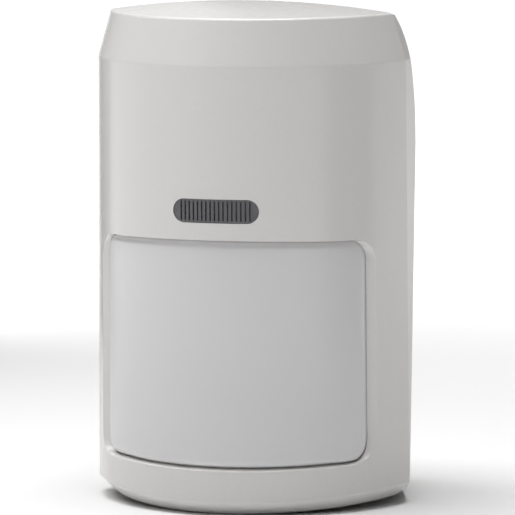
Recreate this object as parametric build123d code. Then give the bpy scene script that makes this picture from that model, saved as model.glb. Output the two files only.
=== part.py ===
from build123d import *
import os
from math import cos, radians, sin, sqrt, tan

# Wall-mounted motion detector. Millimetres, +Z up, the front faces -Y.
# The origin is the centre of the flat wall face at the back.

# ---- case ----
HEIGHT = 95.4
BOTTOM = -HEIGHT / 2
TOP = HEIGHT / 2
COVER_RADIUS = 31.7           # the cover is part of an upright cylinder; its radius halfway up
DRAFT = 0.006                 # how much that radius grows per millimetre downwards
AXIS_Y = -21.25               # that cylinder's axis
SEAM_Y = -28.9                # flat parting plane between cover and base
SHOULDER_Z = BOTTOM + 84.4    # the wall leans inwards above this height
SHOULDER_ROUND = 1.6
TOP_RADIUS = 28.95            # edge of the domed top
TOP_ROUND = 0.7
DOME_RADIUS = 193.0
BOW_LOW = BOTTOM - 0.12       # the underside bows down in the middle, to this height
BOW_RADIUS = 300.0
SKIRT_HEIGHT = 2.5            # chamfer round the bottom edge
SKIRT_DEPTH = 2.8
SKIRT_ROUND = 1.0
WALL = 2.0
HALF_WIDTH = sqrt(COVER_RADIUS**2 - (AXIS_Y - SEAM_Y) ** 2)   # at the seam

# ---- rear base ----
TAPER_ANGLE = radians(20)
TAPER = tan(TAPER_ANGLE)      # the sides of the base close in towards the wall
# How far behind the seam the straight side strip of the base ends, by height above the bottom.
STRIP_FOOT = (-5.0, 0.4)
STRIP_TOP = (58.0, 5.5)
STRIP_CURL = [(71.5, 6.2), (79.6, 4.8), (84.4, 2.8), (89.3, -1.15), (92.8, -6.2), (96.4, -13.7)]
CORNER_REACH = 17.0           # half width of the flat back, where the 45 degree faces start
ROOF_RADIUS = 191.0
ROOF_SLOPE = radians(10)
ROOF_STEP = 0.3               # the roof of the base starts this far below the top of the cover
BACK_BEVEL = 9.0              # 45 degree face between the roof and the wall
BACK_DROP = 7.5

# ---- lens opening ----
LENS_LOW = BOTTOM + 8.37
LENS_HIGH = BOTTOM + 51.9
RIM_ANGLE = 58.7              # half angle of the opening at the outer surface
RIM_ANGLE_STEP = 2.7          # bevel width at the sides, as an angle
RIM_LOW_STEP = 0.4            # bevel width along the bottom
RIM_HIGH_STEP = 0.1           # bevel width along the top
RIM_DEPTH = 1.3
RIM_CORNER = 4.6
RIM_CORNER_STEP = 0.7
CURVE_PIECES = 8              # edges that make up the outline of the opening
RIM_BOW = 4.2e-5              # how much flatter the long edges run towards the sides
LENS_RADIUS = 31.2
LENS_GAP = 0.12
LENS_RISE = 0.08              # the lens sits against the top of its opening
LENS_SKIN = 0.9
LENS_EDGE = 1.3
FLANGE = 1.2
FLANGE_SEAT = 0.08            # play between the flange and the inside of the cover
FLANGE_THICKNESS = 1.0
RETAINER_THICKNESS = 1.3

# ---- indicator window ----
WINDOW_Z = BOTTOM + 57.4
WINDOW_WIDTH = 16.7
WINDOW_HEIGHT = 4.4
WINDOW_RECESS = 0.15
WINDOW_GROOVES = 17
GROOVE_PITCH = 0.84
GROOVE_WIDTH = 0.3
GROOVE_DEPTH = 0.5
GROOVE_HEIGHT = 3.6

# ---- circuit board and what is on it ----
BOARD_FRONT = -18.0
BOARD_THICKNESS = 1.6
BOARD_BACK = BOARD_FRONT + BOARD_THICKNESS
BOARD_WIDTH = 48.0
BOARD_LOW = BOTTOM + 6.0
BOARD_HIGH = BOTTOM + 84.0
BOARD_SCREWS = [(-20.5, BOTTOM + 10), (20.5, BOTTOM + 10), (0, BOTTOM + 49)]
BOARD_SCREW_RADIUS = 1.1
SENSOR_Z = BOTTOM + 30.3
SENSOR_RADIUS = 4.6
BATTERY_Z = BOTTOM + 73.2
BATTERY_Y = BOARD_FRONT - 10.3
BATTERY_RADIUS = 8.5
HOLDER_FLOOR = 1.5

# ---- fastenings ----
SCREW_Y = -33.0
SCREW_RADIUS = 1.5
SCREW_HEAD_RADIUS = 2.75
SCREW_HEAD_Z = BOTTOM + 0.5
SCREW_HEAD_HEIGHT = 1.8
WASHER_RADIUS = 3.2
WASHER_THICKNESS = 0.5
POCKET_TOP = BOTTOM + 3.0
PAD_TOP = BOTTOM + 4.6
BOSS_LOW = BOTTOM + 5.2
BOSS_HIGH = BOTTOM + 15.0
HOOK_X = 14.0
HOOK_Z = BOTTOM + 88.6
WALL_HOLE_RADIUS = 2.2
WALL_HOLE_Z = 27.0
CORNER_HOLE_Z = 20.0
CORNER_HOLE_X = 21.6

# ---- tamper switches ----
COVER_TAMPER_X = 19.5
COVER_TAMPER_Z = BOTTOM + 58.8
COVER_BUTTON_FRONT = BOARD_FRONT - 4.6
WALL_TAMPER_Z = 10.0
PLUNGER_RADIUS = 2.0
PLUNGER_TRAVEL = 1.2

# ---- settings ----
SWITCH_X = -12.0
SWITCH_Z = BOTTOM + 13.0
SLIDER_PITCH = 2.54
SLIDERS = 4
TRIMMER_X = 13.0
TRIMMER_Z = BOTTOM + 13.0


def block(x, y, z):
    """Box between three (low, high) pairs."""
    size = (x[1] - x[0], y[1] - y[0], z[1] - z[0])
    centre = (sum(x) / 2, sum(y) / 2, sum(z) / 2)
    return Pos(*centre) * Box(*size)


def rod_y(radius, x, z, y_low, y_high):
    """Cylinder along Y."""
    return Pos(x, (y_low + y_high) / 2, z) * Rot(90, 0, 0) * Cylinder(radius, y_high - y_low)


def rod_z(radius, x, y, z_low, z_high):
    """Cylinder along Z."""
    return Pos(x, y, (z_low + z_high) / 2) * Cylinder(radius, z_high - z_low)


def plain_axis_rod(radius):
    """Straight cylinder about the cover's own axis, taller than the case."""
    return rod_z(radius, 0, AXIS_Y, BOTTOM - 20, TOP + 20)


def axis_rod(radius):
    """Rod about the cover's own axis with the cover's draft, taller than the case."""
    reach = TOP + 20
    return Pos(0, AXIS_Y, 0) * Cone(radius + DRAFT * reach, radius - DRAFT * reach, 2 * reach)


def mirrored(part):
    """The part and its mirror image across the symmetry plane."""
    return part + mirror(part, about=Plane.YZ)


# ---------------------------------------------------------------- case shapes

def wall_radius(z):
    """Radius of the cover's outside below the shoulder."""
    return COVER_RADIUS - DRAFT * z


def turned_case(inset):
    """Drafted wall, leaning shoulder and domed top as one turned solid with a bowed underside."""
    low = BOTTOM - 5
    shoulder = SHOULDER_Z - inset / 4
    top_radius = TOP_RADIUS - inset
    dome_radius = DOME_RADIUS - inset
    crown = TOP - inset
    middle = crown - dome_radius
    rim = (top_radius, middle + sqrt(dome_radius**2 - top_radius**2))
    half_way = (top_radius / 2, middle + sqrt(dome_radius**2 - top_radius**2 / 4))
    corner = (wall_radius(shoulder) - inset, shoulder)
    foot = (wall_radius(low) - inset, low)
    outline = Polyline([(0, crown), (0, low), foot, corner, rim])
    outline += ThreePointArc(rim, half_way, (0, crown))
    profile = make_face(outline)
    profile = fillet(profile.vertices().sort_by_distance(corner)[0], SHOULDER_ROUND)
    profile = fillet(profile.vertices().sort_by_distance(rim)[0], TOP_ROUND)
    turned = Pos(0, AXIS_Y, 0) * revolve(Plane.XZ * profile, Axis.Z)
    bow = Pos(0, AXIS_Y, BOW_LOW + BOW_RADIUS) * Rot(90, 0, 0) * Cylinder(BOW_RADIUS - inset, 120)
    return turned & bow


def in_front_of_seam():
    return block((-60, 60), (-80, SEAM_Y), (BOTTOM - 10, TOP + 10))


def front_rim(solid):
    """The edges round the lowest face, without the one along the seam."""
    underside = solid.faces().sort_by(Axis.Z)[0]
    return [e for e in underside.edges() if e.center().Y < SEAM_Y - 2]


def cover_outside():
    """Outer form of the front cover, with the rounded chamfer round its bottom edge."""
    solid = turned_case(0) & in_front_of_seam()
    wall = solid.faces().filter_by(GeomType.CONE).sort_by(SortBy.AREA)[-1]
    solid = chamfer(front_rim(solid), SKIRT_HEIGHT, SKIRT_DEPTH, reference=wall)
    return fillet(front_rim(solid), SKIRT_ROUND)


def strip_point(place):
    """Point (y, z) at the back edge of the side strip."""
    height, behind = place
    return (SEAM_Y + behind, BOTTOM + height)


def taper_tool(inset):
    """Everything behind the right-hand side of the base, which closes in and curls forward at the top."""
    foot = strip_point(STRIP_FOOT)
    knee = strip_point(STRIP_TOP)
    curl = [strip_point(place) for place in STRIP_CURL]
    upwards = (knee[0] - foot[0], knee[1] - foot[1])
    forwards = (curl[-1][0] - curl[-2][0], curl[-1][1] - curl[-2][1])
    edge = Line(foot, knee)
    edge += Spline([knee, *curl], tangents=[upwards, forwards])
    edge += Polyline([curl[-1], (60, curl[-1][1]), (60, foot[1]), foot])
    reach = 10
    shift = -reach - inset / sin(TAPER_ANGLE)
    section = Pos(HALF_WIDTH + reach * TAPER, shift, 0) * (Plane.YZ * make_face(edge))
    return extrude(section, amount=75, dir=(-TAPER, 1, 0))


def base_form(inset, seam_face):
    """Outer form of the rear base, or its hollow when inset: from the seam back to the wall."""
    solid = extrude(seam_face, amount=-SEAM_Y - inset + 1, dir=(0, 1, 0))
    taper = taper_tool(inset)
    solid -= taper
    solid -= mirror(taper, about=Plane.YZ)
    reach = CORNER_REACH / sqrt(2) - inset
    corner = Rot(0, 0, 45) * block((reach, reach + 60), (-60, 60), (BOTTOM - 9, TOP + 9))
    solid -= corner
    solid -= mirror(corner, about=Plane.YZ)
    roof_y = SEAM_Y - ROOF_RADIUS * sin(ROOF_SLOPE)
    roof_z = TOP - ROOF_STEP - ROOF_RADIUS * cos(ROOF_SLOPE)
    solid &= Pos(0, roof_y, roof_z) * Sphere(ROOF_RADIUS - inset)
    bevel_reach = (TOP - BACK_DROP - BACK_BEVEL) / sqrt(2) - inset
    bevel = Rot(-45, 0, 0) * block((-60, 60), (-100, 100), (bevel_reach, bevel_reach + 60))
    solid -= bevel
    return solid & block((-60, 60), (SEAM_Y - 1, -inset), (BOTTOM - 9, TOP + 9))


# ---------------------------------------------------------------- lens opening

def rounded_outline(half_width, half_height, corner):
    """Points round a rectangle with rounded corners, anticlockwise from the right-hand side."""
    corner_steps = 5
    side_steps = [12, 8, 12, 8]
    outline = []
    for quadrant, (side, level) in enumerate([(1, 1), (-1, 1), (-1, -1), (1, -1)]):
        centre = (side * (half_width - corner), level * (half_height - corner))
        for step in range(corner_steps + 1):
            turn = radians(90 * (quadrant + step / corner_steps))
            outline.append((centre[0] + corner * cos(turn), centre[1] + corner * sin(turn)))
        start = outline[-1]
        across = quadrant % 2 == 0
        run = -2 * side * (half_width - corner) if across else 0
        rise = 0 if across else -2 * level * (half_height - corner)
        for step in range(1, side_steps[quadrant]):
            part = step / side_steps[quadrant]
            outline.append((start[0] + part * run, start[1] + part * rise))
    return outline


def rim_points(depth, margin):
    """Rounded rectangle on the cover's wall, depth below its surface, grown by margin all round."""
    share = depth / RIM_DEPTH
    radius = COVER_RADIUS - depth
    half_arc = radius * radians(RIM_ANGLE - RIM_ANGLE_STEP * share) + margin
    low = LENS_LOW + RIM_LOW_STEP * share - margin
    high = LENS_HIGH - RIM_HIGH_STEP * share + margin
    corner = RIM_CORNER - RIM_CORNER_STEP * share + margin
    points = []
    for arc, height in rounded_outline(half_arc, (high - low) / 2, corner):
        angle = arc / radius
        z = (low + high) / 2 + height * (1 - RIM_BOW * (radius * sin(angle)) ** 2)
        local_radius = wall_radius(z) - depth
        points.append((local_radius * sin(angle), AXIS_Y - local_radius * cos(angle), z))
    return points


def closed_curve(points, y=None):
    """Smooth closed curve through the points, in pieces, flattened onto a plane when y is given."""
    if y is not None:
        points = [(p[0], y, p[2]) for p in points]
    loop = Edge.make_spline([Vector(*p) for p in points], periodic=True)
    return [loop.trim(piece / CURVE_PIECES, (piece + 1) / CURVE_PIECES) for piece in range(CURVE_PIECES)]


def opening_tool():
    """What the lens opening takes out of the cover: flared at the rim, then straight through."""
    outer = rim_points(-1.0, 0)
    inner = rim_points(RIM_DEPTH, 0)
    loops = [
        closed_curve(outer, -60),
        closed_curve(outer),
        closed_curve(inner),
        closed_curve(inner, -26),
    ]
    skins = []
    for first, second in zip(loops, loops[1:]):
        skins += [Face.make_surface_from_curves(a, b) for a, b in zip(first, second)]
    caps = [Face(Wire(loops[0])), Face(Wire(loops[-1]))]
    return Solid(Shell(skins + caps))


def rim_prism(margin):
    """Straight prism along Y with the outline of the opening's floor, grown by margin."""
    outline = Wire(closed_curve(rim_points(RIM_DEPTH, margin), -60))
    return extrude(Face(outline), amount=45, dir=(0, 1, 0))


def lens():
    """Moulded sheet with a rounded front edge, hollow behind, and a flange that sits inside the cover."""
    rise = Pos(0, 0, LENS_RISE)
    front = rise * rim_prism(-LENS_GAP) & axis_rod(LENS_RADIUS)
    front_edge = front.faces().sort_by(Axis.Y)[0].outer_wire().edges()
    front = fillet(front_edge, LENS_EDGE)
    pocket = rise * rim_prism(-LENS_GAP - LENS_SKIN) & axis_rod(LENS_RADIUS - LENS_SKIN)
    flange = rim_prism(FLANGE) & axis_rod(COVER_RADIUS - WALL - FLANGE_SEAT)
    behind = axis_rod(COVER_RADIUS - WALL - FLANGE_THICKNESS)
    return front + flange - pocket - behind


def lens_retainer():
    """Curved frame that holds the lens flange against the inside of the cover."""
    outer = COVER_RADIUS - WALL - FLANGE_THICKNESS - FLANGE_SEAT
    ring = plain_axis_rod(outer) - plain_axis_rod(outer - RETAINER_THICKNESS)
    return (ring & rim_prism(FLANGE + 0.4)) - rim_prism(-2.4)


# ---------------------------------------------------------------- front cover

def window_prism(margin, y_low, y_high):
    """Pill-shaped bar along Y at the indicator window."""
    pill = SlotOverall(WINDOW_WIDTH + 2 * margin, WINDOW_HEIGHT + 2 * margin)
    return extrude(Pos(0, y_high, WINDOW_Z) * (Plane.XZ * pill), amount=y_high - y_low)


def retainer_ribs():
    """Two curved ledges that locate the retainer above and below."""
    inner = COVER_RADIUS - WALL
    ring = axis_rod(inner + 0.3) - axis_rod(inner - 2.4)
    front = block((-16, 16), (-60, AXIS_Y - 10), (LENS_HIGH + 1.75, LENS_HIGH + 2.6))
    lower = block((-16, 16), (-60, AXIS_Y - 10), (LENS_LOW - 2.35, LENS_LOW - 1.45))
    return ring & (front + lower)


def cover_hook():
    """One of the two hooks that hang the cover on the base."""
    width = (HOOK_X - 3, HOOK_X + 3)
    root = block(width, (SEAM_Y - 4, SEAM_Y - 1.9), (HOOK_Z, BOTTOM + 93.4))
    tab = block(width, (SEAM_Y - 4, SEAM_Y + 3.5), (HOOK_Z, HOOK_Z + 1.5))
    lip = block(width, (SEAM_Y + 2.7, SEAM_Y + 3.5), (HOOK_Z, HOOK_Z + 2.3))
    return root + tab + lip


def tamper_post():
    """Rib from the cover's wall that presses the cover tamper button."""
    x = (COVER_TAMPER_X - 1.5, COVER_TAMPER_X + 1.5)
    z = (COVER_TAMPER_Z - 0.9, COVER_TAMPER_Z + 0.9)
    tip = COVER_BUTTON_FRONT - 0.05
    stem = block(x, (-50, tip), z)
    web = block((COVER_TAMPER_X - 0.6, COVER_TAMPER_X + 0.6), (-50, tip - 6), (z[0] - 1.0, z[1] + 1.0))
    return (stem + web) & axis_rod(COVER_RADIUS - 1)


def front_cover():
    """Half-round shell with the lens opening, the window slot, hooks and the screw notch."""
    outside = cover_outside()
    inside = turned_case(WALL)
    shell = outside - inside
    shell += retainer_ribs() & outside
    shell += mirrored(cover_hook())
    shell += tamper_post()
    pad = rod_z(6.0, 0, SCREW_Y, BOTTOM - 1, PAD_TOP)
    pad += block((-6, 6), (SCREW_Y, SEAM_Y), (BOTTOM - 1, PAD_TOP))
    shell += pad & outside
    pocket = WASHER_RADIUS + 0.4
    shell -= rod_z(pocket, 0, SCREW_Y, BOTTOM - 2, POCKET_TOP)
    shell -= block((-pocket, pocket), (SCREW_Y, SEAM_Y + 1), (BOTTOM - 2, POCKET_TOP))
    notch = SCREW_RADIUS + 0.3
    shell -= rod_z(notch, 0, SCREW_Y, BOTTOM, PAD_TOP + 1)
    shell -= block((-notch, notch), (SCREW_Y, SEAM_Y + 1), (BOTTOM, PAD_TOP + 1))
    shell -= opening_tool()
    shell -= window_prism(0.05, -60, -40)
    return shell


def indicator_window():
    """Dark pill with upright grooves in front and a flange behind the cover's wall."""
    pill = window_prism(0, -60, -44) & axis_rod(COVER_RADIUS - WINDOW_RECESS)
    grooved = axis_rod(COVER_RADIUS) - axis_rod(COVER_RADIUS - WINDOW_RECESS - GROOVE_DEPTH)
    for groove in range(WINDOW_GROOVES):
        x = (groove - (WINDOW_GROOVES - 1) / 2) * GROOVE_PITCH
        z = (WINDOW_Z - GROOVE_HEIGHT / 2, WINDOW_Z + GROOVE_HEIGHT / 2)
        bar = block((x - GROOVE_WIDTH / 2, x + GROOVE_WIDTH / 2), (-60, -44), z)
        pill -= grooved & bar
    flange = window_prism(0.6, -60, -44) & axis_rod(COVER_RADIUS - WALL - 0.05)
    return pill + flange - axis_rod(COVER_RADIUS - WALL - 0.85)


def light_pipe():
    """Clear bar that carries the status light from the board to the window."""
    front_y = AXIS_Y - (COVER_RADIUS - WALL - 0.9) + 0.6
    front = Pos(0, front_y, WINDOW_Z) * (Plane.XZ * RectangleRounded(9, 3, 0.6))
    neck = Pos(0, front_y + 8, WINDOW_Z) * (Plane.XZ * RectangleRounded(4, 2.4, 0.6))
    tail = Pos(0, BOARD_FRONT - 2.6, WINDOW_Z) * (Plane.XZ * RectangleRounded(3.4, 2.4, 0.6))
    return loft([front, neck]) + loft([neck, tail])


# ---------------------------------------------------------------- rear base

def hook_ledge():
    """Rib under the roof with two slots for the cover's hooks."""
    ledge = block((-19, 19), (SEAM_Y + 1, SEAM_Y + 2), (HOOK_Z - 0.6, TOP))
    slot = block((HOOK_X - 3.4, HOOK_X + 3.4), (SEAM_Y, SEAM_Y + 3), (HOOK_Z - 2, HOOK_Z + 2.0))
    return ledge - mirrored(slot)


def screw_boss():
    """Bracket that reaches into the cover and takes the cover screw."""
    arm = rod_z(4, 0, SCREW_Y, BOSS_LOW, BOSS_HIGH)
    arm += block((-4, 4), (SCREW_Y, SEAM_Y + 6), (BOSS_LOW, BOSS_HIGH))
    web = block((-4, 4), (SEAM_Y + 0.3, SEAM_Y + 6), (BOTTOM + 1, BOSS_HIGH))
    gusset = block((-0.8, 0.8), (SEAM_Y + 4, SEAM_Y + 9), (BOTTOM + 1, BOSS_LOW + 4))
    hole = rod_z(SCREW_RADIUS + 0.05, 0, SCREW_Y, BOSS_LOW - 1, BOTTOM + 13.2)
    return arm + web + gusset - hole


def base_lip(seam_form):
    """Thin rim that enters the cover and keeps the two halves in line."""
    core = turned_case(WALL + 1.15)
    ring = turned_case(WALL + 0.15) - core
    ring &= block((-60, 60), (SEAM_Y - 1.4, SEAM_Y), (BOTTOM - 1, TOP))
    back_ring = seam_form - core
    back_ring &= block((-60, 60), (SEAM_Y, SEAM_Y + 0.8), (BOTTOM - 1, TOP))
    lip = ring + back_ring
    return lip - block((-6.8, 6.8), (SEAM_Y - 2, SEAM_Y + 2), (BOTTOM - 1, BOTTOM + 12))


def board_posts(form):
    """Posts from the back wall that the circuit board is screwed to."""
    posts = [rod_y(3.0, x, z, BOARD_BACK, -WALL / 2) for x, z in BOARD_SCREWS]
    holes = [rod_y(BOARD_SCREW_RADIUS + 0.05, x, z, BOARD_BACK - 1, BOARD_BACK + 7) for x, z in BOARD_SCREWS]
    return (Part() + posts) & form, Part() + holes


def corner_holes():
    """Screw holes square to the two 45 degree faces, for fitting in the corner of a room."""
    hole = Rot(0, 90, 0) * Cylinder(WALL_HOLE_RADIUS, 12)
    holes = []
    for z in (-CORNER_HOLE_Z, CORNER_HOLE_Z):
        holes.append(Pos(CORNER_HOLE_X, CORNER_REACH - CORNER_HOLE_X, z) * Rot(0, 0, 45) * hole)
    return mirrored(Part() + holes)


def rear_base():
    """Shell that fixes to the wall and carries the circuit board."""
    seam_face = cover_outside().faces().sort_by(Axis.Y)[-1]
    inner_face = (turned_case(WALL) & in_front_of_seam()).faces().sort_by(Axis.Y)[-1]
    form = base_form(0, seam_face)
    hollow = base_form(WALL, inner_face)
    shell = form - hollow
    posts, post_holes = board_posts(form)
    tube = rod_y(PLUNGER_RADIUS + 1.2, 0, WALL_TAMPER_Z, -8, -WALL / 2)
    shell += posts + tube + base_lip(form)
    shell += hook_ledge() & form
    shell += screw_boss()
    shell -= post_holes
    shell -= rod_y(PLUNGER_RADIUS + 0.08, 0, WALL_TAMPER_Z, -3, 1)
    shell -= rod_y(PLUNGER_RADIUS + 0.6, 0, WALL_TAMPER_Z, -9, -WALL)
    for z in (-WALL_HOLE_Z, WALL_HOLE_Z):
        shell -= rod_y(WALL_HOLE_RADIUS, 0, z, -5, 1)
    return shell - corner_holes()


# ---------------------------------------------------------------- fasteners

def cover_screw():
    """Pan-head screw with a cross recess, head down."""
    head_top = SCREW_HEAD_Z + SCREW_HEAD_HEIGHT
    head = rod_z(SCREW_HEAD_RADIUS, 0, SCREW_Y, SCREW_HEAD_Z, head_top)
    head = fillet(head.edges().filter_by(GeomType.CIRCLE).sort_by(Axis.Z)[0], 0.8)
    arm = block((-1.5, 1.5), (SCREW_Y - 0.3, SCREW_Y + 0.3), (SCREW_HEAD_Z - 1, SCREW_HEAD_Z + 1))
    cross = arm + Pos(0, SCREW_Y, 0) * Rot(0, 0, 90) * Pos(0, -SCREW_Y, 0) * arm
    shank = rod_z(SCREW_RADIUS, 0, SCREW_Y, head_top, BOTTOM + 12.6)
    shank = chamfer(shank.edges().filter_by(GeomType.CIRCLE).sort_by(Axis.Z)[-1], 0.6)
    return head + shank - cross


def cover_screw_washer():
    low = SCREW_HEAD_Z + SCREW_HEAD_HEIGHT
    outer = rod_z(WASHER_RADIUS, 0, SCREW_Y, low, low + WASHER_THICKNESS)
    return outer - rod_z(SCREW_RADIUS + 0.06, 0, SCREW_Y, low - 1, low + 2)


def board_screws():
    """Self-tapping screws that hold the circuit board, one solid each."""
    screws = []
    for x, z in BOARD_SCREWS:
        head = rod_y(2.2, x, z, BOARD_FRONT - 1.5, BOARD_FRONT)
        head = fillet(head.edges().filter_by(GeomType.CIRCLE).sort_by(Axis.Y)[0], 0.7)
        shank = rod_y(BOARD_SCREW_RADIUS, x, z, BOARD_FRONT, BOARD_BACK + 6)
        slot = block((x - 1.3, x + 1.3), (BOARD_FRONT - 2, BOARD_FRONT - 0.9), (z - 0.25, z + 0.25))
        cross = slot + block((x - 0.25, x + 0.25), (BOARD_FRONT - 2, BOARD_FRONT - 0.9), (z - 1.3, z + 1.3))
        screws.append(head + shank - cross)
    return screws


# ---------------------------------------------------------------- circuit board

def sensor_lead_places():
    return [(2.54 * cos(radians(a)), SENSOR_Z + 2.54 * sin(radians(a))) for a in (45, 135, 270)]


def circuit_board():
    half = BOARD_WIDTH / 2
    board = block((-half, half), (BOARD_FRONT, BOARD_BACK), (BOARD_LOW, BOARD_HIGH))
    board = chamfer(board.edges().filter_by(Axis.Y).sort_by(Axis.Z)[-2:], 4)
    board = fillet(board.edges().filter_by(Axis.Y).sort_by(Axis.Z)[:2], 1.5)
    for x, z in BOARD_SCREWS:
        board -= rod_y(BOARD_SCREW_RADIUS + 0.15, x, z, BOARD_FRONT - 1, BOARD_BACK + 1)
    for x, z in sensor_lead_places():
        board -= rod_y(0.4, x, z, BOARD_FRONT - 1, BOARD_BACK + 1)
    return board


def sensor_can():
    """Metal can of the heat sensor with its flange and a square window opening."""
    flange = rod_y(SENSOR_RADIUS, 0, SENSOR_Z, BOARD_FRONT - 0.7, BOARD_FRONT)
    cap = rod_y(SENSOR_RADIUS - 0.5, 0, SENSOR_Z, BOARD_FRONT - 4.2, BOARD_FRONT - 0.7)
    cap = fillet(cap.edges().filter_by(GeomType.CIRCLE).sort_by(Axis.Y)[0], 0.5)
    hollow = rod_y(SENSOR_RADIUS - 0.9, 0, SENSOR_Z, BOARD_FRONT - 3.8, BOARD_FRONT - 0.9)
    opening = block((-2, 2), (BOARD_FRONT - 5, BOARD_FRONT - 3), (SENSOR_Z - 1.5, SENSOR_Z + 1.5))
    return flange + cap - hollow - opening


def sensor_filter():
    """Heat-passing window of the sensor, behind the can's opening."""
    return block((-2.4, 2.4), (BOARD_FRONT - 3.8, BOARD_FRONT - 3.4), (SENSOR_Z - 1.8, SENSOR_Z + 1.8))


def sensor_leads():
    return [rod_y(0.225, x, z, BOARD_FRONT, BOARD_BACK + 1.4) for x, z in sensor_lead_places()]


def sensor_shroud():
    """Flared collar round the sensor that keeps insects and draughts away."""
    outer = Pos(0, BOARD_FRONT - 4, SENSOR_Z) * Rot(90, 0, 0) * Cone(7.2, 9.6, 8)
    inner = Pos(0, BOARD_FRONT - 4.5, SENSOR_Z) * Rot(90, 0, 0) * Cone(6.4, 9.0, 9.2)
    foot = rod_y(8.6, 0, SENSOR_Z, BOARD_FRONT - 1, BOARD_FRONT)
    return outer + foot - inner - rod_y(6.2, 0, SENSOR_Z, BOARD_FRONT - 2, BOARD_FRONT + 1)


def status_led():
    body = block((-1.6, 1.6), (BOARD_FRONT - 1.4, BOARD_FRONT), (WINDOW_Z - 1.4, WINDOW_Z + 1.4))
    return body + rod_y(1.2, 0, WINDOW_Z, BOARD_FRONT - 1.9, BOARD_FRONT - 1.4)


def battery_holder():
    """Cradle with end walls and two springy side walls."""
    x = (-20.0, 20.0)
    z = (BATTERY_Z - 10.2, BATTERY_Z + 10.2)
    cradle = block(x, (BOARD_FRONT - 13, BOARD_FRONT), z)
    cradle -= block((-18.4, 18.4), (BOARD_FRONT - 14, BOARD_FRONT - HOLDER_FLOOR), (z[0] + 1.3, z[1] - 1.3))
    cradle -= block((-14, 14), (BOARD_FRONT - 14, BOARD_FRONT - 7), (z[0] - 1, z[1] + 1))
    cradle -= block((-9, 9), (BOARD_FRONT - 14, BOARD_FRONT - 3), (z[0] - 1, z[1] + 1))
    return cradle


def battery():
    """Lithium cell lying across the board, with its positive stud."""
    can = Pos(0.2, BATTERY_Y, BATTERY_Z) * Rot(0, 90, 0) * Cylinder(BATTERY_RADIUS, 33.4)
    can = fillet(can.edges().filter_by(GeomType.CIRCLE), 0.6)
    return can + Pos(17.4, BATTERY_Y, BATTERY_Z) * Rot(0, 90, 0) * Cylinder(3.2, 1.2)


def battery_contact_positive():
    x = (18.0, 18.4)
    plate = block(x, (BATTERY_Y - 4, BATTERY_Y + 4), (BATTERY_Z - 4, BATTERY_Z + 4))
    tail_y = (BATTERY_Y + 4, BOARD_FRONT - HOLDER_FLOOR)
    return plate + block(x, tail_y, (BATTERY_Z - 1.5, BATTERY_Z + 1.5))


def battery_contact_spring():
    """Spring contact for the flat end of the cell."""
    coil = Helix(0.62, 1.24, 3.2, center=(-18.12, BATTERY_Y, BATTERY_Z), direction=(1, 0, 0))
    wire = Plane(origin=coil @ 0, z_dir=coil % 0) * Circle(0.2)
    return sweep(wire, path=coil)


def cover_tamper_switch():
    x = (COVER_TAMPER_X - 3, COVER_TAMPER_X + 3)
    z = (COVER_TAMPER_Z - 3, COVER_TAMPER_Z + 3)
    body = block(x, (BOARD_FRONT - 3.5, BOARD_FRONT), z)
    body = chamfer(body.edges().filter_by(Axis.Y), 0.5)
    return body - rod_y(1.35, COVER_TAMPER_X, COVER_TAMPER_Z, BOARD_FRONT - 5, BOARD_FRONT - 1.5)


def cover_tamper_button():
    button = rod_y(1.3, COVER_TAMPER_X, COVER_TAMPER_Z, COVER_BUTTON_FRONT, BOARD_FRONT - 2.2)
    return fillet(button.edges().filter_by(GeomType.CIRCLE).sort_by(Axis.Y)[0], 0.3)


def wall_tamper_switch():
    """Switch on the back of the board, in line with the plunger."""
    body = block((-3, 3), (BOARD_BACK, BOARD_BACK + 3.2), (WALL_TAMPER_Z - 3, WALL_TAMPER_Z + 3))
    return chamfer(body.edges().filter_by(Axis.Y), 0.5)


def wall_tamper_plunger():
    """Spring-loaded pin that the wall pushes in."""
    pin = rod_y(PLUNGER_RADIUS, 0, WALL_TAMPER_Z, -3.0, PLUNGER_TRAVEL)
    pin = fillet(pin.edges().filter_by(GeomType.CIRCLE).sort_by(Axis.Y)[-1], 0.6)
    collar = rod_y(PLUNGER_RADIUS + 0.45, 0, WALL_TAMPER_Z, -3.0, -WALL - 0.05)
    stem = rod_y(1.0, 0, WALL_TAMPER_Z, -11.6, -3.0)
    return pin + collar + stem


def wall_tamper_spring():
    """Coil spring round the plunger's stem, from its collar to the switch."""
    coil = Helix(1.4, 9.3, 1.6, center=(0, BOARD_BACK + 3.45, WALL_TAMPER_Z), direction=(0, 1, 0))
    wire = Plane(origin=coil @ 0, z_dir=coil % 0) * Circle(0.2)
    return sweep(wire, path=coil)


# ---------------------------------------------------------------- settings and electronics

def slider_x(number):
    return SWITCH_X + (number - (SLIDERS - 1) / 2) * SLIDER_PITCH


def option_switch_body():
    x = (SWITCH_X - 5.6, SWITCH_X + 5.6)
    body = block(x, (BOARD_FRONT - 3.2, BOARD_FRONT), (SWITCH_Z - 3.2, SWITCH_Z + 3.2))
    body = chamfer(body.edges().filter_by(Axis.Y), 0.4)
    for number in range(SLIDERS):
        x = slider_x(number)
        z = (SWITCH_Z - 1.5, SWITCH_Z + 1.5)
        body -= block((x - 0.75, x + 0.75), (BOARD_FRONT - 5, BOARD_FRONT - 1.6), z)
    return body


def option_slider(number):
    """One slider of the option switch, in its lower position."""
    x = slider_x(number)
    z = (SWITCH_Z - 1.4, SWITCH_Z - 0.2)
    return block((x - 0.65, x + 0.65), (BOARD_FRONT - 3.9, BOARD_FRONT - 1.7), z)


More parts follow.
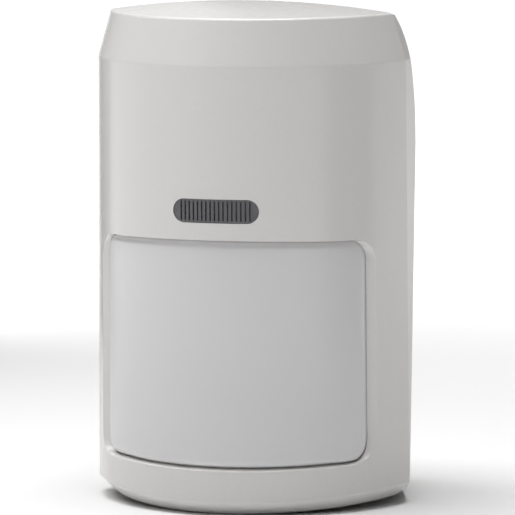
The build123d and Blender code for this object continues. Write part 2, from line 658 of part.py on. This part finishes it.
def trimmer_body():
    x = (TRIMMER_X - 3.3, TRIMMER_X + 3.3)
    body = block(x, (BOARD_FRONT - 3.0, BOARD_FRONT), (TRIMMER_Z - 3.3, TRIMMER_Z + 3.3))
    body = chamfer(body.edges().filter_by(Axis.Y), 0.5)
    return body - rod_y(2.45, TRIMMER_X, TRIMMER_Z, BOARD_FRONT - 4, BOARD_FRONT - 1.4)


def trimmer_rotor():
    """Adjuster disc with a screwdriver slot and an arrow notch at its edge."""
    disc = rod_y(2.4, TRIMMER_X, TRIMMER_Z, BOARD_FRONT - 3.5, BOARD_FRONT - 1.5)
    cut = (BOARD_FRONT - 4, BOARD_FRONT - 2.6)
    disc -= block((TRIMMER_X - 0.3, TRIMMER_X + 0.3), cut, (TRIMMER_Z - 1.8, TRIMMER_Z + 1.8))
    return disc - block((TRIMMER_X - 1.2, TRIMMER_X + 1.2), cut, (TRIMMER_Z - 0.3, TRIMMER_Z + 0.3))


def control_chips():
    """Controller and amplifier packages, one solid each."""
    controller = block((-19, -12), (BOARD_FRONT - 1.0, BOARD_FRONT - 0.1), (BOTTOM + 24, BOTTOM + 31))
    amplifier = block((-18, -13), (BOARD_FRONT - 1.4, BOARD_FRONT - 0.1), (BOTTOM + 35, BOTTOM + 39))
    return [chamfer(c.edges().group_by(Axis.Y)[0], 0.2) for c in (controller, amplifier)]


def pin_rows(columns, low, pitch, count, half_height):
    """Gull-wing feet of one package, in a column on each side of it."""
    feet = []
    y = (BOARD_FRONT - 0.3, BOARD_FRONT)
    for x in columns:
        for row in range(count):
            z = low + pitch * row
            feet.append(block((x - 0.55, x + 0.55), y, (z - half_height, z + half_height)))
    return feet


def chip_pins():
    """Feet of the controller and the amplifier, one solid each."""
    controller = pin_rows((-19.6, -11.4), BOTTOM + 24.7, 0.93, 7, 0.15)
    return controller + pin_rows((-18.6, -12.4), BOTTOM + 35.4, 1.06, 4, 0.2)


def surface_parts():
    """Small resistors and capacitors, one solid each."""
    places = [(-8.5, 24.5), (-8.5, 21), (8.5, 21), (11, 24), (14, 24), (17, 24), (11, 27)]
    places += [(-21.5, 42), (-21.5, 46), (-9, 44), (-6, 44), (6, 44), (9, 44)]
    places += [(-12, 52), (-9, 52), (9, 52), (12, 52)]
    parts = []
    for x, height in places:
        z = BOTTOM + height
        parts.append(block((x - 0.8, x + 0.8), (BOARD_FRONT - 0.8, BOARD_FRONT), (z - 0.5, z + 0.5)))
    return parts


def storage_capacitor():
    can = rod_y(3.15, 19.0, BOTTOM + 50.0, BOARD_FRONT - 6.6, BOARD_FRONT - 0.8)
    can = fillet(can.edges().filter_by(GeomType.CIRCLE).sort_by(Axis.Y)[0], 0.4)
    return can + block((15.7, 22.3), (BOARD_FRONT - 0.8, BOARD_FRONT), (BOTTOM + 46.7, BOTTOM + 53.3))


def crystal():
    can = block((-16.5, -11.5), (BOARD_FRONT - 1.3, BOARD_FRONT), (BOTTOM + 44, BOTTOM + 47.2))
    return fillet(can.edges().filter_by(Axis.Y), 0.5)


def radio_shield():
    """Pressed metal lid over the radio circuit."""
    lid = block((11, 23), (BOARD_FRONT - 2.4, BOARD_FRONT), (BOTTOM + 29, BOTTOM + 43))
    lid = fillet(lid.edges().filter_by(Axis.Y), 0.8)
    lid = fillet(lid.edges().group_by(Axis.Y)[0], 0.3)
    return lid - block((11.3, 22.7), (BOARD_FRONT - 2.1, BOARD_FRONT + 1), (BOTTOM + 29.3, BOTTOM + 42.7))


def antenna_coil():
    """Wound wire aerial standing beside the window, with one straight leg into the board."""
    coil = Helix(1.5, 9.0, 2.2, center=(-19.5, BOARD_FRONT - 3.2, BOTTOM + 50.5), direction=(0, 0, 1))
    wire = Plane(origin=coil @ 0, z_dir=coil % 0) * Circle(0.35)
    return sweep(wire, path=coil)


NODES = {
    "front_cover": front_cover,
    "lens": lens,
    "lens_retainer": lens_retainer,
    "indicator_window": indicator_window,
    "light_pipe": light_pipe,
    "rear_base": rear_base,
    "cover_screw": cover_screw,
    "cover_screw_washer": cover_screw_washer,
    "board_screws": board_screws,
    "circuit_board": circuit_board,
    "sensor_can": sensor_can,
    "sensor_filter": sensor_filter,
    "sensor_leads": sensor_leads,
    "sensor_shroud": sensor_shroud,
    "status_led": status_led,
    "battery_holder": battery_holder,
    "battery": battery,
    "battery_contact_positive": battery_contact_positive,
    "battery_contact_spring": battery_contact_spring,
    "cover_tamper_switch": cover_tamper_switch,
    "cover_tamper_button": cover_tamper_button,
    "wall_tamper_switch": wall_tamper_switch,
    "wall_tamper_plunger": wall_tamper_plunger,
    "wall_tamper_spring": wall_tamper_spring,
    "option_switch_body": option_switch_body,
    "trimmer_body": trimmer_body,
    "trimmer_rotor": trimmer_rotor,
    "control_chips": control_chips,
    "chip_pins": chip_pins,
    "surface_parts": surface_parts,
    "storage_capacitor": storage_capacitor,
    "crystal": crystal,
    "radio_shield": radio_shield,
    "antenna_coil": antenna_coil,
}

os.makedirs("parts", exist_ok=True)
for name, make in NODES.items():
    made = make()
    if isinstance(made, list):
        made = Compound(children=[piece.solid() for piece in made])
    export_step(made, f"parts/{name}.step")
for number in range(SLIDERS):
    export_step(option_slider(number), f"parts/option_slider_{number + 1}.step")
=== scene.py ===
import math

import bpy
from mathutils import Matrix, Vector


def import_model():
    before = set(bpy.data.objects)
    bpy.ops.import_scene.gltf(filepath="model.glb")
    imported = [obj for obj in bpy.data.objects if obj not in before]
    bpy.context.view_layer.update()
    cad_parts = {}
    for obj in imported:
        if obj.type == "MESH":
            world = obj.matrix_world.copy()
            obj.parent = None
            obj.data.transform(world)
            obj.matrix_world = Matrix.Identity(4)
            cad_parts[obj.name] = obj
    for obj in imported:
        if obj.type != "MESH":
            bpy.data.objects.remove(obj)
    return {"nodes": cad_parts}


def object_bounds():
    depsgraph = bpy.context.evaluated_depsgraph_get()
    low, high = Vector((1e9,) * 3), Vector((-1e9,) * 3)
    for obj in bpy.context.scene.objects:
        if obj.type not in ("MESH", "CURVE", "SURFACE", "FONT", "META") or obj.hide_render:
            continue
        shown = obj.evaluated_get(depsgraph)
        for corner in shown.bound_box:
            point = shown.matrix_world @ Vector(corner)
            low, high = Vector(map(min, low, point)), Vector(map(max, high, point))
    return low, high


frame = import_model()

nodes = frame["nodes"]
cad_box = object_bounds()

# Metres throughout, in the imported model's frame: +Z up, the wall face at y = 0, the front faces -Y.
MM = 0.001
CAD_LOW, CAD_HIGH = cad_box

# ---------------------------------------------------------------- camera
CAMERA_AZIMUTH = math.radians(16.92)     # from straight ahead towards +X
CAMERA_ELEVATION = math.radians(6.78)
CAMERA_ROLL = math.radians(0.33)
CAMERA_DISTANCE = 1.0
CAMERA_LENS = 364.5                      # millimetres, on the sensor width below
CAMERA_SENSOR = 36
CAMERA_NEAR = 0.05
CAMERA_FAR = 50
CAMERA_AIM = Vector((-0.09, -25.03, -2.15)) * MM


def place_camera():
    """Long lens a metre away, slightly above and to the right of the front."""
    back = Vector((
        math.sin(CAMERA_AZIMUTH) * math.cos(CAMERA_ELEVATION),
        -math.cos(CAMERA_AZIMUTH) * math.cos(CAMERA_ELEVATION),
        math.sin(CAMERA_ELEVATION),
    ))
    right = Vector((math.cos(CAMERA_AZIMUTH), math.sin(CAMERA_AZIMUTH), 0))
    up = right.cross(-back)
    turned_right = right * math.cos(CAMERA_ROLL) - up * math.sin(CAMERA_ROLL)
    turned_up = right * math.sin(CAMERA_ROLL) + up * math.cos(CAMERA_ROLL)
    data = bpy.data.cameras.new("camera")
    data.lens = CAMERA_LENS
    data.sensor_width = CAMERA_SENSOR
    data.clip_start = CAMERA_NEAR
    data.clip_end = CAMERA_FAR
    camera = bpy.data.objects.new("camera", data)
    bpy.context.scene.collection.objects.link(camera)
    turn = Matrix((turned_right, turned_up, back)).transposed().to_4x4()
    camera.matrix_world = Matrix.Translation(CAMERA_AIM + back * CAMERA_DISTANCE) @ turn
    bpy.context.scene.camera = camera


# ---------------------------------------------------------------- material helpers

NOISE_LOW = 0.3              # noise values mostly lie between these two
NOISE_HIGH = 0.7


class Recipe:
    """A node material under construction: a Principled shader and short calls that feed it."""

    def __init__(self, name, colour, roughness, **sockets):
        self.material = bpy.data.materials.new(name)
        self.material.use_nodes = True
        self.tree = self.material.node_tree
        self.shader = self.tree.nodes["Principled BSDF"]
        self.shader.inputs["Base Color"].default_value = (*colour, 1)
        self.shader.inputs["Roughness"].default_value = roughness
        for socket, value in sockets.items():
            self.shader.inputs[socket.replace("_", " ")].default_value = value
        self.place = self.add("ShaderNodeTexCoord").outputs["Object"]

    def add(self, kind, **settings):
        node = self.tree.nodes.new(kind)
        for key, value in settings.items():
            setattr(node, key, value)
        return node

    def link(self, source, target):
        self.tree.links.new(source, target)

    def noise(self, size_mm, detail):
        """Soft noise whose features measure about size_mm."""
        node = self.add("ShaderNodeTexNoise")
        node.inputs["Scale"].default_value = 1 / (size_mm * MM)
        node.inputs["Detail"].default_value = detail
        self.link(self.place, node.inputs["Vector"])
        return node.outputs["Fac"]

    def ramp(self, value, stops):
        """Colour ramp over (position, colour) stops."""
        node = self.add("ShaderNodeValToRGB")
        elements = node.color_ramp.elements
        while len(elements) < len(stops):
            elements.new(0.5)
        for element, (position, colour) in zip(elements, stops):
            element.position = position
            element.color = (*colour, 1)
        self.link(value, node.inputs["Fac"])
        return node.outputs["Color"]

    def span(self, value, low, high):
        """The value's middle range spread from low to high."""
        node = self.add("ShaderNodeMapRange")
        node.inputs["From Min"].default_value = NOISE_LOW
        node.inputs["From Max"].default_value = NOISE_HIGH
        node.inputs["To Min"].default_value = low
        node.inputs["To Max"].default_value = high
        self.link(value, node.inputs["Value"])
        return node.outputs["Result"]

    def vary_colour(self, value, first, second):
        """Base colour that drifts from first to second with the value."""
        colour = self.ramp(value, [(NOISE_LOW, first), (NOISE_HIGH, second)])
        self.link(colour, self.shader.inputs["Base Color"])

    def vary_roughness(self, value, low, high):
        """Roughness that drifts from low to high with the value."""
        self.link(self.span(value, low, high), self.shader.inputs["Roughness"])

    def bump(self, value, height_mm):
        """Relief of the given height on the normal."""
        node = self.add("ShaderNodeBump")
        node.inputs["Distance"].default_value = height_mm * MM
        node.inputs["Strength"].default_value = 1.0
        self.link(value, node.inputs["Height"])
        self.link(node.outputs["Normal"], self.shader.inputs["Normal"])


def dress(material, *names):
    """Gives CAD nodes a material."""
    for name in names:
        mesh = nodes[name].data
        mesh.materials.clear()
        mesh.materials.append(material)


# ---------------------------------------------------------------- materials

def cover_plastic():
    """Glossy white moulded plastic with a faint orange peel."""
    r = Recipe("cover_plastic", (0.80, 0.785, 0.77), 0.22, IOR=1.5)
    r.vary_colour(r.noise(0.4, 3), (0.79, 0.778, 0.765), (0.81, 0.796, 0.785))
    r.vary_roughness(r.noise(1.5, 3), 0.19, 0.25)
    r.bump(r.noise(0.6, 2), 0.0015)
    return r.material


def base_plastic():
    """The base's white moulding, a little duller than the cover and without relief."""
    r = Recipe("base_plastic", (0.79, 0.775, 0.76), 0.3, IOR=1.5)
    r.vary_colour(r.noise(0.4, 3), (0.775, 0.76, 0.748), (0.795, 0.78, 0.768))
    r.vary_roughness(r.noise(1.5, 3), 0.30, 0.36)
    return r.material


def lens_plastic():
    """Milky sheet with a satin gloss, a little light passing through it."""
    r = Recipe("lens_plastic", (0.80, 0.79, 0.785), 0.26, IOR=1.52)
    r.shader.inputs["Subsurface Weight"].default_value = 0.35
    r.shader.inputs["Subsurface Scale"].default_value = 0.002
    r.shader.inputs["Subsurface Radius"].default_value = (1.0, 0.9, 0.8)
    r.vary_colour(r.noise(60, 1), (0.812, 0.80, 0.805), (0.808, 0.796, 0.80))
    r.vary_roughness(r.noise(30, 1), 0.22, 0.26)
    return r.material


def inner_plastic():
    """Satin white plastic of the small mouldings inside."""
    r = Recipe("inner_plastic", (0.75, 0.74, 0.72), 0.4, IOR=1.48)
    r.vary_colour(r.noise(6, 3), (0.73, 0.72, 0.70), (0.78, 0.77, 0.75))
    r.bump(r.noise(0.3, 2), 0.004)
    return r.material


def window_plastic():
    """Smoked grey window moulding."""
    r = Recipe("window_plastic", (0.115, 0.115, 0.125), 0.3, IOR=1.5)
    r.vary_colour(r.noise(2.5, 3), (0.105, 0.105, 0.116), (0.128, 0.128, 0.138))
    r.vary_roughness(r.noise(1.2, 2), 0.25, 0.36)
    r.bump(r.noise(0.25, 2), 0.003)
    return r.material


def simple(name, first, second, roughness, feature_mm, **sockets):
    """Moulded or plated finish with soft colour and roughness variation."""
    r = Recipe(name, first, roughness, **sockets)
    r.vary_colour(r.noise(feature_mm, 3), first, second)
    r.vary_roughness(r.noise(feature_mm / 2, 3), roughness * 0.85, roughness * 1.15)
    r.bump(r.noise(feature_mm / 6, 2), 0.004)
    return r.material


METAL = {"Metallic": 1.0}
CLEAR = {"Transmission_Weight": 0.85}
# name, first colour, second colour, roughness, feature size in mm, other sockets, nodes
SIMPLE_FINISHES = [
    ("clear_plastic", (0.9, 0.92, 0.93), (0.86, 0.9, 0.92), 0.08, 3, CLEAR, ["light_pipe"]),
    ("board", (0.015, 0.11, 0.05), (0.02, 0.16, 0.075), 0.28, 4, {}, ["circuit_board"]),
    ("zinc", (0.62, 0.62, 0.6), (0.72, 0.72, 0.7), 0.3, 1, METAL,
     ["board_screws", "cover_screw", "cover_screw_washer"]),
    ("plated", (0.68, 0.67, 0.65), (0.78, 0.77, 0.75), 0.22, 1, METAL,
     ["sensor_can", "sensor_leads", "battery_contact_positive", "battery_contact_spring",
      "wall_tamper_spring", "chip_pins", "crystal", "radio_shield"]),
    ("black_plastic", (0.02, 0.02, 0.022), (0.03, 0.03, 0.032), 0.42, 2, {},
     ["battery_holder", "cover_tamper_switch", "wall_tamper_switch", "control_chips",
      "storage_capacitor", "sensor_shroud"]),
    ("filter", (0.02, 0.018, 0.03), (0.035, 0.03, 0.05), 0.1, 1, {}, ["sensor_filter"]),
    ("led", (0.75, 0.75, 0.7), (0.8, 0.8, 0.75), 0.2, 1, {}, ["status_led"]),
    ("cell", (0.02, 0.07, 0.16), (0.03, 0.09, 0.2), 0.22, 6, {}, ["battery"]),
    ("switch_blue", (0.02, 0.08, 0.35), (0.03, 0.1, 0.42), 0.35, 2, {}, ["option_switch_body"]),
    ("trimmer", (0.03, 0.12, 0.4), (0.04, 0.15, 0.46), 0.35, 2, {}, ["trimmer_body", "trimmer_rotor"]),
    ("ceramic", (0.35, 0.24, 0.14), (0.45, 0.32, 0.2), 0.45, 1, {}, ["surface_parts"]),
    ("copper", (0.75, 0.36, 0.18), (0.85, 0.45, 0.24), 0.25, 1, METAL, ["antenna_coil"]),
]


def dress_everything():
    """Gives each CAD node its finish."""
    sliders = [f"option_slider_{number}" for number in range(1, 5)]
    dress(cover_plastic(), "front_cover")
    dress(base_plastic(), "rear_base")
    dress(lens_plastic(), "lens")
    dress(window_plastic(), "indicator_window")
    dress(inner_plastic(), "lens_retainer", "wall_tamper_plunger", "cover_tamper_button", *sliders)
    for name, first, second, roughness, feature_mm, sockets, names in SIMPLE_FINISHES:
        dress(simple(name, first, second, roughness, feature_mm, **sockets), *names)


# ---------------------------------------------------------------- studio

WORLD_STRENGTH = 0.02
FLOOR_SIZE = 12
FLOOR_GAP = 0.02 * MM        # keeps the paper off the case's lowest face
FLOOR_GLOW_START = 0.15      # distance from the origin where the glow begins
FLOOR_GLOW_FULL = 0.5
FLOOR_GLOW_NEAR = 0.0
FLOOR_GLOW_FAR = 0.7
CARD_DISTANCE = 0.24
CARD_HEIGHT = 0.35
# name, azimuth in degrees from straight ahead towards +X, width
DARK_CARDS = [
    ("card_right", 78, 0.16),
    ("card_left", -125, 0.12),
]
# name, azimuth and elevation in degrees, distance, width, height, radiance
LIGHTS = [
    ("top", 0, 89, 1.3, 0.9, 0.9, 6.76),
    ("high_left", -90, 60, 1.3, 0.7, 0.6, 4.51),
    ("side_left", -40, 12, 1.5, 0.6, 0.9, 0.45),
    ("side_rear", -150, 12, 1.5, 0.6, 0.9, 0.47),
]


def floor():
    """White paper that glows softly away from the object, like a lit sweep."""
    bpy.ops.mesh.primitive_plane_add(size=FLOOR_SIZE, location=(0, 0, CAD_LOW.z - FLOOR_GAP))
    plane = bpy.context.object
    plane.name = "floor"
    r = Recipe("floor_paper", (0.9, 0.9, 0.9), 0.8)
    r.vary_colour(r.noise(300, 2), (0.89, 0.89, 0.89), (0.91, 0.91, 0.91))
    r.shader.inputs["Specular IOR Level"].default_value = 0.1
    r.shader.inputs["Emission Color"].default_value = (1, 1, 1, 1)
    distance = r.add("ShaderNodeVectorMath", operation="LENGTH")
    r.link(r.place, distance.inputs[0])
    glow = r.add("ShaderNodeMapRange", interpolation_type="SMOOTHSTEP")
    glow.inputs["From Min"].default_value = FLOOR_GLOW_START
    glow.inputs["From Max"].default_value = FLOOR_GLOW_FULL
    glow.inputs["To Min"].default_value = FLOOR_GLOW_NEAR
    glow.inputs["To Max"].default_value = FLOOR_GLOW_FAR
    r.link(distance.outputs["Value"], glow.inputs["Value"])
    r.link(glow.outputs["Result"], r.shader.inputs["Emission Strength"])
    plane.data.materials.append(r.material)


def softbox(name, azimuth, elevation, distance, width, height, radiance):
    """Rectangular area light that faces the object from a direction."""
    a, e = math.radians(azimuth), math.radians(elevation)
    direction = Vector((math.sin(a) * math.cos(e), -math.cos(a) * math.cos(e), math.sin(e)))
    data = bpy.data.lights.new(name, "AREA")
    data.shape = "RECTANGLE"
    data.size = width
    data.size_y = height
    data.energy = radiance * math.pi * width * height
    light = bpy.data.objects.new(name, data)
    bpy.context.scene.collection.objects.link(light)
    centre = (CAD_LOW + CAD_HIGH) / 2
    light.location = centre + direction * distance
    light.rotation_euler = direction.to_track_quat("Z", "Y").to_euler()


def dark_card(name, azimuth, width):
    """Dark card that stands upright by the case and shades one side of it, unseen by the camera."""
    bpy.ops.mesh.primitive_plane_add(size=1)
    card = bpy.context.object
    card.name = name
    card.scale = (width, CARD_HEIGHT, 1)
    turn = math.radians(azimuth)
    card.rotation_euler = (math.radians(90), 0, turn)
    direction = Vector((math.sin(turn), -math.cos(turn), 0))
    foot = Vector((0, CAD_LOW.y / 2, CAD_LOW.z + CARD_HEIGHT / 2))
    card.location = foot + direction * CARD_DISTANCE
    card.visible_camera = False
    paper = simple(name + "_paper", (0.03, 0.03, 0.03), (0.04, 0.04, 0.04), 0.8, 20)
    card.data.materials.append(paper)


def world():
    """Faint even light from all round."""
    made = bpy.data.worlds.new("studio")
    made.use_nodes = True
    background = made.node_tree.nodes["Background"]
    background.inputs["Color"].default_value = (1, 1, 1, 1)
    background.inputs["Strength"].default_value = WORLD_STRENGTH
    bpy.context.scene.world = made


def studio():
    """Floor, cards and lights around the object."""
    floor()
    for card in DARK_CARDS:
        dark_card(*card)
    world()
    for light in LIGHTS:
        softbox(*light)


dress_everything()
studio()
place_camera()
bpy.context.scene.view_settings.view_transform = "Standard"
